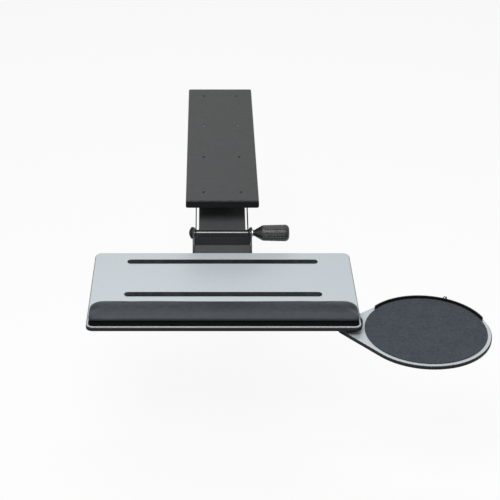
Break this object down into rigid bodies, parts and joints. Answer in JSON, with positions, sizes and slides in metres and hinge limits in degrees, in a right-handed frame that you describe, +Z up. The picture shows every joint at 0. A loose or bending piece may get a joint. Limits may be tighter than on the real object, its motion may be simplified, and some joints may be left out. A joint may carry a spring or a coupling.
{
  "type": "keyboard tray",
  "caption": "Keyboard tray that slides, swivels, lifts and tilts under a desk, on a parallel-link arm, with a palm rest and a round mouse tray that swings on a corner pivot.",
  "frame": {"origin": "centre of the desk screw pattern, on the face of the track that meets the underside of the desk", "axes": "+X to the user's right, +Y along the track to the back of the desk, +Z up into the desk"},
  "size_m": [0.7156, 0.9603, 0.1246],
  "materials": {
    "black_steel": "satin black powder coat",
    "gloss_black": "gloss black paint",
    "bright_steel": "zinc plated, bright",
    "black_plastic": "fine moulded grain",
    "gloss_black_plastic": "smooth gloss",
    "white_glide": "natural acetal",
    "black_board": "dense phenolic board, fine texture",
    "silver_sheet": "silver grey satin with a fine pebble",
    "black_rubber": "matte",
    "grey_cover": "soft coated cloth over gel",
    "pad_cloth": "fine knitted pad cloth",
    "knob_plastic": "satin moulded grip",
    "brass_insert": "turned"
  },
  "bodies": {
    "track": {"track_rail": "black_steel", "front_stop": "black_plastic", "rear_stop": "black_plastic"},
    "carriage": {"carriage_plate": "black_steel", "glide_shoes": "white_glide", "swivel_washer": "white_glide", "swivel_rivet": "bright_steel"},
    "swivel": {"swivel_bracket": "black_steel", "rear_axle": "bright_steel", "axle_clips": "bright_steel", "link_pins": "bright_steel"},
    "arm": {"arm_channel": "black_steel", "front_tube": "gloss_black", "rear_bushes": "white_glide"},
    "side_links": {"link_right": "black_steel", "link_left": "black_steel"},
    "pivot_head": {"pivot_head": "black_steel", "head_bushes": "bright_steel", "link_axle": "bright_steel"},
    "tray": {"tray_bracket": "black_steel", "bracket_screws": "bright_steel", "clamp_rod": "bright_steel", "cap_nut": "black_plastic", "knob_washer": "bright_steel", "platform_board": "black_board", "platform_top": "silver_sheet", "grip_strips": "black_rubber", "palm_rest_base": "black_rubber", "palm_rest_pad": "grey_cover", "pivot_boss": "black_plastic", "pivot_washer": "bright_steel", "pivot_screw": "bright_steel"},
    "knob": {"clamp_knob": "knob_plastic", "knob_insert": "brass_insert"},
    "mouse_tray": {"mouse_tray_board": "black_board", "mouse_tray_top": "silver_sheet", "mouse_pad": "pad_cloth", "mouse_fence": "gloss_black_plastic", "cord_clip": "gloss_black_plastic"}
  },
  "joints": [
    {"name": "track_slide", "type": "slide", "parent": "track", "child": "carriage", "axis": [0, 1, 0], "range_m": [-0.16, 0.24]},
    {"name": "swivel_turn", "type": "hinge", "parent": "carriage", "child": "swivel", "pos_m": [0, -0.042, -0.018], "axis": [0, 0, 1], "continuous": true},
    {"name": "arm_lift", "type": "hinge", "parent": "swivel", "child": "arm", "pos_m": [0, -0.08, -0.032], "axis": [1, 0, 0], "range_deg": [-9, 35]},
    {"name": "link_swing", "type": "hinge", "parent": "swivel", "child": "side_links", "pos_m": [0, -0.08, -0.056], "axis": [1, 0, 0], "range_deg": [-9, 35]},
    {"name": "head_level", "type": "hinge", "parent": "arm", "child": "pivot_head", "pos_m": [0, -0.27633, -0.07016], "axis": [1, 0, 0], "range_deg": [-35, 9]},
    {"name": "tray_tilt", "type": "hinge", "parent": "pivot_head", "child": "tray", "pos_m": [0, -0.27633, -0.07016], "axis": [-1, 0, 0], "range_deg": [-15, 15]},
    {"name": "knob_turn", "type": "hinge", "parent": "tray", "child": "knob", "pos_m": [0.09, -0.27633, -0.07016], "axis": [1, 0, 0], "continuous": true},
    {"name": "mouse_swing", "type": "hinge", "parent": "tray", "child": "mouse_tray", "pos_m": [0.2259, -0.54983, -0.11216], "axis": [0, 0, 1], "range_deg": [-60, 115]}
  ],
  "couplings": [
    {"joint": "link_swing", "follows": "arm_lift", "ratio": 1},
    {"joint": "head_level", "follows": "arm_lift", "ratio": -1}
  ]
}
